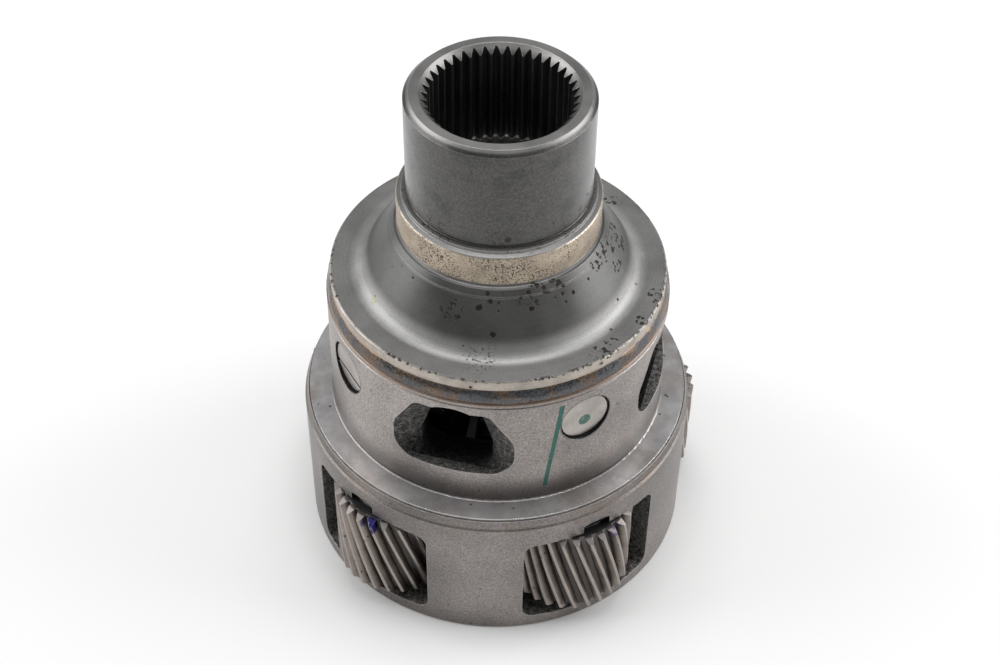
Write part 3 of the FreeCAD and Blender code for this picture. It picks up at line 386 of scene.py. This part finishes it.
    colour = p.shaded(grey, p.ramp(fine, 0.3, 0.7, 0.92, 1.08))
    colour = p.shaded(colour, p.ramp(lathe, 0.3, 0.7, 0.95, 1.05))
    colour = p.over(colour, blotches, 0.80, BLOTCH)
    colour = p.over(colour, single_spots, 0.85, SPOT)
    colour = p.over(colour, pits, 0.85, DARK_RUST)
    colour = p.over(colour, stain, 0.7, YELLOW_STAIN)
    # Painted shade: the bore's wall darkens towards black below its top.
    inside = p.both(p.ramp(p.radius, BORE_RADIUS, BORE_RADIUS - 0.6 * MM),
                    p.ramp(p.height, TUBE_TOP - 1 * MM, TUBE_TOP - 3 * MM),
                    p.ramp(p.height, 171.0 * MM, 172.5 * MM))
    colour = p.over(colour, inside, 0.60, OIL_AND_SHADE_BLACK)
    # Painted light: the ledge at the bore's foot is lifted to light grey and the spline's lower ends to near
    # white, as if lit inside the shaded bore.
    in_bore = p.ramp(p.radius, BORE_RADIUS + 0.6 * MM, BORE_RADIUS + 0.2 * MM)
    painted_ledge_light = p.both(in_bore, p.between(p.height, LEDGE_LOW, LEDGE_HIGH, 0.2 * MM))
    colour = p.mix(painted_ledge_light, colour, LEDGE_PAINTED_LIGHT)
    painted_tooth_end_light = p.both(in_bore, p.between(p.height, TOOTH_ENDS_LOW, TOOTH_ENDS_HIGH, 0.2 * MM))
    colour = p.mix(painted_tooth_end_light, colour, TOOTH_END_PAINTED_LIGHT)
    # Edges lightened: wear, and a painted highlight along them.
    colour = p.over(colour, p.edges(0.35 * MM), 0.55, EDGE_WEAR_AND_HIGHLIGHT)

    damage = p.either(blotches, pits, single_spots)
    roughness = p.math("ADD", p.ramp(tone, 0.3, 0.7, 0.36, 0.46), p.math("MULTIPLY", damage, 0.35))
    satin = p.either(flange, p.ramp(p.radius, 49 * MM, 52 * MM))
    roughness = p.math("ADD", roughness, p.math("MULTIPLY", satin, 0.14))
    heights = ((lathe, 0.010 * MM), (fine, 0.015 * MM), (p.without(damage), 0.06 * MM))
    return p.finish(colour, roughness, 0.92, heights, coat=p.math("MULTIPLY", wall, 0.6))


def case_casting():
    """The carrier: warm matt machined outside, rough cast window walls, a heat-tinted weld edge."""
    p = Paint("case_casting")
    tone = p.noise(26 * MM, detail=4.0)
    speck = p.noise(0.7 * MM, detail=3.0, rough=0.65)
    lathe = p.rings(0.5 * MM)

    colour = p.shaded(CASE_GREY, p.ramp(tone, 0.25, 0.75, 0.76, 1.16))
    colour = p.shaded(colour, p.ramp(p.noise(60 * MM, detail=2.0), 0.35, 0.65, 0.86, 1.12))
    colour = p.shaded(colour, p.ramp(speck, 0.3, 0.7, 0.66, 1.32))
    # Painted light: the shoulder's top is coloured much lighter than the case, standing in for the overhead light
    # it reflects.
    shoulder = p.both(p.between(p.height, SHOULDER_TOP - 1.5 * MM, SHOULDER_TOP, 0.4 * MM),
                      p.ramp(p.radius, 68.6 * MM, 69.0 * MM), p.ramp(p.radius, 78.2 * MM, 77.9 * MM))
    drum = p.ramp(p.height, 66.8 * MM, 66.2 * MM)
    shoulder_painted_light = p.shaded(SHOULDER_PAINTED_LIGHT, p.ramp(p.noise(7 * MM, detail=5.0), 0.3, 0.7, 0.84, 1.12))
    colour = p.over(colour, shoulder, 0.9, shoulder_painted_light)
    heat = p.both(p.ramp(p.noise(15 * MM, detail=3.0), 0.48, 0.64),
                  p.between(p.height, 63 * MM, 76 * MM, 6 * MM))
    colour = p.over(colour, heat, 0.24, HEAT_TINT)
    # Painted shade: the case wall darkens over its lowest part, down to the shoulder.
    foot_shade = p.both(p.ramp(p.height, 84 * MM, 70 * MM),
                  p.ramp(p.height, SHOULDER_TOP, SHOULDER_TOP + 0.4 * MM))
    colour = p.over(colour, foot_shade, 0.75, FOOT_SHADE)
    colour = p.shaded(colour, p.math("SUBTRACT", 1.0, p.math("MULTIPLY", drum, 0.30)))

    # Cast skin: everything in from the turned outsides, except the gear windows' cut walls.
    turned_radius = p.ramp(p.height, CASE_FOOT, CASE_HEAD, CASE_FOOT_RADIUS, CASE_HEAD_RADIUS)
    depth = p.math("SUBTRACT", turned_radius, p.radius)
    case_skin = p.both(p.ramp(depth, 0.15 * MM, 0.30 * MM), p.between(p.height, 72 * MM, 119 * MM, 0.2 * MM))
    drum_skin = p.both(p.ramp(p.radius, DRUM_RADIUS - 0.15 * MM, DRUM_RADIUS - 0.35 * MM),
                       p.between(p.height, 3 * MM, 60 * MM, 2 * MM))
    cast = p.either(case_skin, drum_skin)
    lumps = p.noise(1.6 * MM, detail=5.0, rough=0.7)
    grit = p.noise(0.45 * MM, detail=3.0, rough=0.7)
    cast_colour = p.shaded(CAST_GREY, p.ramp(p.both(lumps, grit), 0.16, 0.38, 0.25, 2.50))
    colour = p.mix(cast, colour, cast_colour)
    # Painted shade: the cast window walls darken towards black deeper in.
    deep_shade = p.both(p.ramp(p.radius, 64 * MM, 52 * MM), cast)
    colour = p.over(colour, deep_shade, 0.85, OIL_AND_SHADE_BLACK)

    # A near-black ring on the case round each cross pin: dirt in the gap, and a painted shadow of that gap.
    from_pin = p.math("SUBTRACT", p.math("PINGPONG", p.azimuth, math.pi / 2), math.pi / 4)
    across = p.math("MULTIPLY", p.radius, p.math("SINE", from_pin))
    rise = p.math("SUBTRACT", p.height, PIN_HEIGHT)
    from_axis = p.length(across, rise)
    joint = p.both(p.ramp(from_axis, PIN_RADIUS + 0.55 * MM, PIN_RADIUS + 0.25 * MM),
                   p.ramp(p.radius, 60 * MM, 62 * MM))
    colour = p.over(colour, joint, 0.85, OIL_AND_SHADE_BLACK)

    tint_patches = p.ramp(p.noise(9 * MM, detail=4.0), 0.35, 0.65, 0.35, 1.0)
    tint = p.both(p.ramp(p.height, 119.5 * MM, WELD_BOTTOM), tint_patches,
                  p.ramp(p.radius, 66.5 * MM, 67.0 * MM))
    colour = p.over(colour, tint, 0.75, SEAM_TINT)
    burnt = p.both(p.ramp(p.height, 120.6 * MM, 121.8 * MM), p.ramp(p.radius, 66.0 * MM, 66.5 * MM))
    colour = p.over(colour, burnt, 0.55, BURNT)

    # Small dark spots, and a pen stroke: a slash on the case beside the front right pin.
    spots = p.both(p.ramp(p.cells(7 * MM), 0.095, 0.065), p.without(cast),
                   p.ramp(p.noise(20 * MM), 0.43, 0.50))
    nicks = p.both(p.ramp(p.cells(2.4 * MM), 0.10, 0.07), p.ramp(p.noise(11 * MM), 0.60, 0.66),
                   p.without(cast))
    marks = p.either(spots, nicks)
    colour = p.over(colour, marks, 0.8, RUST)
    slash_azimuth = p.line(p.height, 73.4 * MM, 117.9 * MM, math.radians(30.9), math.radians(36.2))
    off_slash = p.math("ABSOLUTE", p.math("SUBTRACT", p.azimuth, slash_azimuth))
    half_width = p.line(p.height, 74 * MM, 118 * MM, 0.0125, 0.0150)
    in_slash = p.math("LESS_THAN", off_slash, half_width)
    slash = p.both(in_slash, p.between(p.height, SLASH_LOW, SLASH_HIGH, 0.4 * MM),
                   p.ramp(p.radius, 67.4 * MM, 67.6 * MM), p.ramp(p.noise(0.6 * MM), 0.25, 0.45, 0.75, 1.0))
    colour = p.over(colour, slash, 0.88, MARKER_GREEN)
    # Edges lightened: wear, and a painted highlight along them.
    colour = p.over(colour, p.edges(0.4 * MM), 0.5, EDGE_WEAR_AND_HIGHLIGHT)

    roughness = p.math("ADD", p.ramp(tone, 0.3, 0.7, 0.36, 0.44), p.math("MULTIPLY", cast, 0.14))
    roughness = p.math("SUBTRACT", roughness, p.math("MULTIPLY", shoulder, 0.12))
    cast_lumps = p.both(cast, p.math("SUBTRACT", lumps, 0.5))
    cast_grit = p.both(cast, p.math("SUBTRACT", grit, 0.5))
    heights = ((speck, 0.030 * MM), (lathe, 0.008 * MM), (cast_lumps, 1.4 * MM), (cast_grit, 0.7 * MM))
    return p.finish(colour, roughness, 0.80, heights, edge_round=0.35 * MM)


def weld_metal():
    """The weld bead: oxide grey and brown in patches, glossy, with bronze tint along both toes."""
    p = Paint("weld_metal")
    patches = p.noise(8 * MM, detail=5.0, rough=0.65)
    fine = p.noise(0.8 * MM, detail=3.0)
    colour = p.mix(p.ramp(patches, 0.44, 0.66), OXIDE_GREY, OXIDE_BROWN)
    colour = p.shaded(colour, p.ramp(fine, 0.3, 0.7, 0.65, 1.25))
    middle = (WELD_TOP + WELD_BOTTOM) / 2
    toes = p.either(p.ramp(p.height, WELD_BOTTOM + 0.9 * MM, WELD_BOTTOM + 0.1 * MM),
                    p.both(p.ramp(p.height, middle + 1.9 * MM, WELD_TOP), p.ramp(patches, 0.35, 0.60)))
    colour = p.over(colour, toes, 0.65, TOE_TINT)
    slag = p.both(p.ramp(p.cells(5 * MM), 0.16, 0.10), p.ramp(p.noise(14 * MM), 0.48, 0.58))
    colour = p.over(colour, slag, 0.7, SLAG)
    roughness = p.ramp(fine, 0.3, 0.7, 0.22, 0.42)
    return p.finish(colour, roughness, 0.95, ((fine, 0.05 * MM),))


SCRATCHES = (2600.0, 2600.0, 420.0)


def ground_pin_steel():
    """Pins: ground steel with fine scratches, and on the cross pins' ends a dab of green marker."""
    p = Paint("ground_pin_steel")
    tone = p.noise(10 * MM, detail=4.0)
    stretched = p.node("ShaderNodeVectorMath", p.place, SCRATCHES, operation="MULTIPLY").outputs[0]
    scratch = p.noise(1.0, detail=4.0, rough=0.75, vector=stretched)
    colour = p.shaded(PIN_GREY, p.ramp(tone, 0.3, 0.7, 0.86, 1.12))
    colour = p.shaded(colour, p.ramp(scratch, 0.3, 0.7, 0.88, 1.10))
    dab = p.both(p.near(around(45, 67 * MM, 103.5 * MM), 2.3 * MM, 0.7 * MM),
                 p.ramp(p.noise(1.2 * MM), 0.30, 0.42))
    colour = p.over(colour, dab, 0.85, MARKER_GREEN)
    # Painted shade: the pins are darkened where they lie inside the case.
    inside = p.both(p.ramp(p.radius, 60 * MM, 54 * MM), p.between(p.height, 90 * MM, 120 * MM, 2 * MM))
    colour = p.over(colour, inside, 0.6, OIL_AND_SHADE_BLACK)
    # Edges lightened: wear, and a painted highlight along them.
    colour = p.over(colour, p.edges(0.3 * MM), 0.5, EDGE_WEAR_AND_HIGHLIGHT)
    return p.finish(colour, p.ramp(scratch, 0.3, 0.7, 0.30, 0.46), 0.9, ((scratch, 0.012 * MM),))


def planet_gear_steel(number):
    """A planet gear: crests with wear and a painted highlight, warm brown flanks, painted shade in the tooth
    roots, dark end faces.
    """
    x, y, _ = joint_place(f"planet_{number}_spin")
    p = Paint(f"planet_gear_steel_{number}", axis=(x, y))
    tone = p.noise(7 * MM, detail=4.0)
    fine = p.noise(0.5 * MM, detail=2.0)
    flank = p.shaded(FLANK_BROWN, p.ramp(tone, 0.3, 0.7, 0.78, 1.18))
    flank = p.shaded(flank, p.ramp(fine, 0.3, 0.7, 0.93, 1.07))
    # Painted shade: the tooth roots darken towards near black.
    root_shade = p.ramp(p.radius, PLANET_ROOT + 4.6 * MM, PLANET_ROOT + 1.0 * MM)
    colour = p.mix(root_shade, flank, ROOT_SHADE)
    tops = p.both(p.ramp(p.height, PLANET_TOP - 9 * MM, PLANET_TOP - 3.4 * MM),
                  p.ramp(tone, 0.35, 0.65, 0.4, 1.0))
    colour = p.over(colour, tops, 0.55, TOOTH_TOP)
    # The tips are lightened: wear, and a painted highlight along the crests.
    crest_wear_and_highlight = p.ramp(p.radius, PLANET_TIP - 0.22 * MM, PLANET_TIP - 0.08 * MM)
    colour = p.over(colour, crest_wear_and_highlight, 0.40, CREST_WEAR_AND_HIGHLIGHT)
    chips = p.both(p.ramp(p.cells(5.5 * MM), 0.11, 0.08),
                   p.ramp(p.radius, PLANET_TIP - 2.5 * MM, PLANET_TIP - 1.5 * MM))
    colour = p.over(colour, chips, 0.8, CHIP)
    if number == 5:
        pen = p.near(around(-8.4, PLANET_TIP, 50.0 * MM), 3.6 * MM, 1.0 * MM)
        colour = p.mix(p.both(pen, p.ramp(p.noise(1.6 * MM), 0.30, 0.40, 0.0, 0.95)), colour, MARKER_BLUE)
    if number == 1:
        pen = p.near(around(62, PLANET_TIP, 49.8 * MM), 3.2 * MM, 1.4 * MM)
        colour = p.mix(p.both(pen, p.ramp(p.noise(1.6 * MM), 0.42, 0.56, 0.0, 0.8)), colour, MARKER_PURPLE)
    # Edges lightened: wear, and a painted highlight along them.
    colour = p.over(colour, p.edges(0.22 * MM), 0.7, EDGE_WEAR_AND_HIGHLIGHT)
    roughness = p.ramp(tone, 0.3, 0.7, 0.34, 0.46)
    return p.finish(colour, roughness, 0.85, ((fine, 0.012 * MM),), edge_round=0.18 * MM)


def bevel_gear_steel():
    """The bevel gears inside: dark and oiled, with the lathe lines of their turned faces."""
    p = Paint("bevel_gear_steel")
    tone = p.noise(9 * MM, detail=4.0)
    fine = p.noise(0.6 * MM, detail=2.0)
    lathe = p.rings(0.4 * MM)
    colour = p.shaded(OILED_STEEL, p.ramp(tone, 0.3, 0.7, 0.75, 1.2))
    colour = p.shaded(colour, p.ramp(lathe, 0.3, 0.7, 0.93, 1.07))
    # Edges lightened with steel grey: wear, and a painted highlight along them.
    colour = p.over(colour, p.edges(0.3 * MM), 0.3, STEEL_GREY)
    heights = ((fine, 0.015 * MM), (lathe, 0.006 * MM))
    return p.finish(colour, p.ramp(fine, 0.3, 0.7, 0.26, 0.42), 0.9, heights, coat=0.3)


def plain_steel(name, tone_colour, dark, roughness, edge_wear_and_highlight=0.4):
    """Small steel or bronze pieces: cloudy tone, fine scratches, edge wear with a painted edge highlight, dirt in
    patches.
    """
    p = Paint(name)
    tone = p.noise(6 * MM, detail=4.0)
    fine = p.noise(0.4 * MM, detail=3.0)
    dirt = p.ramp(p.noise(3 * MM, detail=5.0, rough=0.65), 0.50, 0.66)
    colour = p.shaded(tone_colour, p.ramp(tone, 0.3, 0.7, 0.82, 1.14))
    colour = p.shaded(colour, p.ramp(fine, 0.3, 0.7, 0.92, 1.08))
    colour = p.over(colour, dirt, 0.5, dark)
    # Edges lightened: wear, and a painted highlight along them.
    colour = p.over(colour, p.edges(0.2 * MM), edge_wear_and_highlight, EDGE_WEAR_AND_HIGHLIGHT)
    rough = p.ramp(fine, 0.3, 0.7, roughness - 0.06, roughness + 0.08)
    return p.finish(colour, rough, 0.9, ((fine, 0.010 * MM),), edge_round=0.12 * MM)


def set_materials():
    shared = {
        "case_casting": case_casting(),
        "turned_steel": turned_steel(),
        "weld_metal": weld_metal(),
        "ground_pin_steel": ground_pin_steel(),
        "spring_steel": plain_steel("spring_steel", (0.10, 0.10, 0.10), OIL_AND_SHADE_BLACK, 0.42),
        "bevel_gear_steel": bevel_gear_steel(),
        "bearing_steel": plain_steel("bearing_steel", (0.50, 0.49, 0.48), (0.10, 0.08, 0.06), 0.22),
        "washer_steel": plain_steel("washer_steel", STEEL_GREY, (0.05, 0.045, 0.04), 0.36),
        "bronze": plain_steel("bronze", (0.48, 0.33, 0.17), (0.10, 0.06, 0.03), 0.38),
    }
    slots = {part["node"]: part["material_slot"] for part in frame["record"]["subparts"]}
    for node, piece in frame["nodes"].items():
        slot = slots[node]
        if slot == "planet_gear_steel":
            material = planet_gear_steel(int(node.rsplit("_", 1)[1]))
        else:
            material = shared[slot]
        piece.data.materials.clear()
        piece.data.materials.append(material)
    return shared


# ---------------------------------------------------------------- pieces made here

BEAD_STEPS = 900
BEAD_RIPPLES = 210
BEAD_SECTION = 14
BEAD_LEAN = 1.45 * MM      # how much nearer to the axis the upper toe lies
BEAD_SAG = 0.55 * MM       # how far the toes lie under the crown
BEAD_RIPPLE = 0.07 * MM
BEAD_WANDER = 0.26 * MM
BEAD_LUMP = 0.14 * MM
BEAD_DRIFT = 0.25 * MM     # how far the crown strays up and down
BEAD_BACK = 2.2 * MM       # how deep the bead reaches into the seam
RIPPLE_LAG = 1.98          # how far the middle of each ripple trails its ends


def weld_bead(material):
    """The welded seam: a crowned bead with overlapping ripples, round the whole seam."""
    mesh = bpy.data.meshes.new("weld_bead_rippled")
    shape = bmesh.new()
    top_radius = WELD_RADIUS - BEAD_LEAN
    loops = []
    for step in range(BEAD_STEPS):
        turn = step / BEAD_STEPS
        angle = 2 * math.pi * turn
        loop = []
        for index in range(BEAD_SECTION + 1):
            across = index / BEAD_SECTION
            crown = math.sin(math.pi * across)
            ripple = abs(math.sin(0.5 * (BEAD_RIPPLES * angle - RIPPLE_LAG * crown))) ** 0.6
            wander = noise.noise(Vector((9 * math.cos(angle), 9 * math.sin(angle), 2.0 * across)))
            lump = noise.noise(Vector((26 * math.cos(angle), 26 * math.sin(angle), 5.0 * across)))
            radius = top_radius + (WELD_RADIUS - top_radius) * across - BEAD_SAG * (1 - crown)
            radius += crown * (BEAD_RIPPLE * ripple + BEAD_WANDER * wander + BEAD_LUMP * lump)
            height = WELD_TOP + (WELD_BOTTOM - WELD_TOP) * across + BEAD_DRIFT * wander * crown
            loop.append(shape.verts.new((radius * math.sin(angle), -radius * math.cos(angle), height)))
        inner = top_radius - BEAD_BACK
        loop.append(shape.verts.new((inner * math.sin(angle), -inner * math.cos(angle), WELD_BOTTOM)))
        loop.append(shape.verts.new((inner * math.sin(angle), -inner * math.cos(angle), WELD_TOP)))
        loops.append(loop)
    for step, loop in enumerate(loops):
        ahead = loops[(step + 1) % BEAD_STEPS]
        for index in range(len(loop)):
            beyond = (index + 1) % len(loop)
            shape.faces.new((loop[index], loop[beyond], ahead[beyond], ahead[index]))
    bmesh.ops.recalc_face_normals(shape, faces=shape.faces)
    for face in shape.faces:
        face.smooth = True
    shape.to_mesh(mesh)
    shape.free()
    bead = bpy.data.objects.new("weld_bead_rippled", mesh)
    bpy.context.scene.collection.objects.link(bead)
    bead.data.materials.append(material)
    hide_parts("weld_bead")
    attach(bead, "carrier")


# ---------------------------------------------------------------- camera, light and floor

VIEW_AZIMUTH = math.radians(14.7)
VIEW_ELEVATION = math.radians(45.221)
VIEW_ROLL = math.radians(0.801)
VIEW_DISTANCE = 8.962 * DRUM_RADIUS
TARGET_HEIGHT = 1.1478 * DRUM_RADIUS
TARGET_SHIFT = 0.0125 * DRUM_RADIUS
FOCAL_LENGTH = 63.34
SENSOR_WIDTH = 36.0
FLOOR_SIZE = 6.0
FLOOR_GAP = 0.0002
FLOOR_COLOUR = (0.92, 0.92, 0.92, 1.0)
SKY_STRENGTH = 0.30
SKY_COLOUR = (1.0, 1.0, 1.0, 1.0)
SOFTBOXES = (   # name, azimuth, elevation, distance, size, power
    ("left_softbox", -80, 28, 1.0, (0.7, 0.9), 6.0),
    ("right_softbox", 110, 24, 1.0, (0.7, 0.9), 7.0),
    ("overhead_softbox", 0, 90, 1.2, (0.65, 0.65), 7.0),
)
OVERHEAD_BACKWARD = 0.14


def camera_axes(azimuth, elevation):
    """Right, up and backward directions of a camera that looks at the axis from an azimuth and elevation."""
    back = Vector((math.sin(azimuth) * math.cos(elevation), -math.cos(azimuth) * math.cos(elevation),
                   math.sin(elevation)))
    right = Vector((math.cos(azimuth), math.sin(azimuth), 0.0))
    return right, back.cross(right), back


def make_camera():
    right, up, back = camera_axes(VIEW_AZIMUTH, VIEW_ELEVATION)
    target = Vector((0.0, 0.0, TARGET_HEIGHT)) + TARGET_SHIFT * right
    rolled_right = math.cos(VIEW_ROLL) * right + math.sin(VIEW_ROLL) * up
    rolled_up = math.cos(VIEW_ROLL) * up - math.sin(VIEW_ROLL) * right
    data = bpy.data.cameras.new("camera")
    data.lens = FOCAL_LENGTH
    data.sensor_width = SENSOR_WIDTH
    camera = bpy.data.objects.new("camera", data)
    bpy.context.scene.collection.objects.link(camera)
    place = target + VIEW_DISTANCE * back
    rows = [(rolled_right[i], rolled_up[i], back[i], place[i]) for i in range(3)]
    camera.matrix_world = Matrix((*rows, (0.0, 0.0, 0.0, 1.0)))
    bpy.context.scene.camera = camera


def make_floor():
    bpy.ops.mesh.primitive_plane_add(size=FLOOR_SIZE, location=(0.0, 0.0, CAD_LOW.z - FLOOR_GAP))
    floor = bpy.context.object
    floor.name = "floor"
    material = bpy.data.materials.new("pale_floor")
    material.use_nodes = True
    shader = material.node_tree.nodes["Principled BSDF"]
    shader.inputs["Base Color"].default_value = FLOOR_COLOUR
    shader.inputs["Roughness"].default_value = 0.6
    shader.inputs["Specular IOR Level"].default_value = 0.0
    floor.data.materials.append(material)


def area_light(name, azimuth_deg, elevation_deg, distance, size, power):
    """A square soft box that faces the object's middle."""
    data = bpy.data.lights.new(name, "AREA")
    data.shape = "RECTANGLE"
    data.size, data.size_y = size
    data.energy = power
    lamp = bpy.data.objects.new(name, data)
    bpy.context.scene.collection.objects.link(lamp)
    _, _, back = camera_axes(math.radians(azimuth_deg), math.radians(elevation_deg))
    lamp.location = Vector((0.0, 0.0, TARGET_HEIGHT)) + back * distance
    lamp.rotation_mode = "QUATERNION"
    lamp.rotation_quaternion = back.to_track_quat("Z", "Y")
    return lamp


def make_lights():
    world = bpy.data.worlds.new("studio")
    bpy.context.scene.world = world
    world.use_nodes = True
    background = world.node_tree.nodes["Background"]
    background.inputs["Color"].default_value = SKY_COLOUR
    background.inputs["Strength"].default_value = SKY_STRENGTH
    lamps = [area_light(*softbox) for softbox in SOFTBOXES]
    _, _, back = camera_axes(VIEW_AZIMUTH, 0.0)
    lamps[-1].location -= OVERHEAD_BACKWARD * back
    bpy.context.scene.view_settings.view_transform = "Standard"


made = set_materials()
weld_bead(made["weld_metal"])
make_camera()
make_floor()
make_lights()
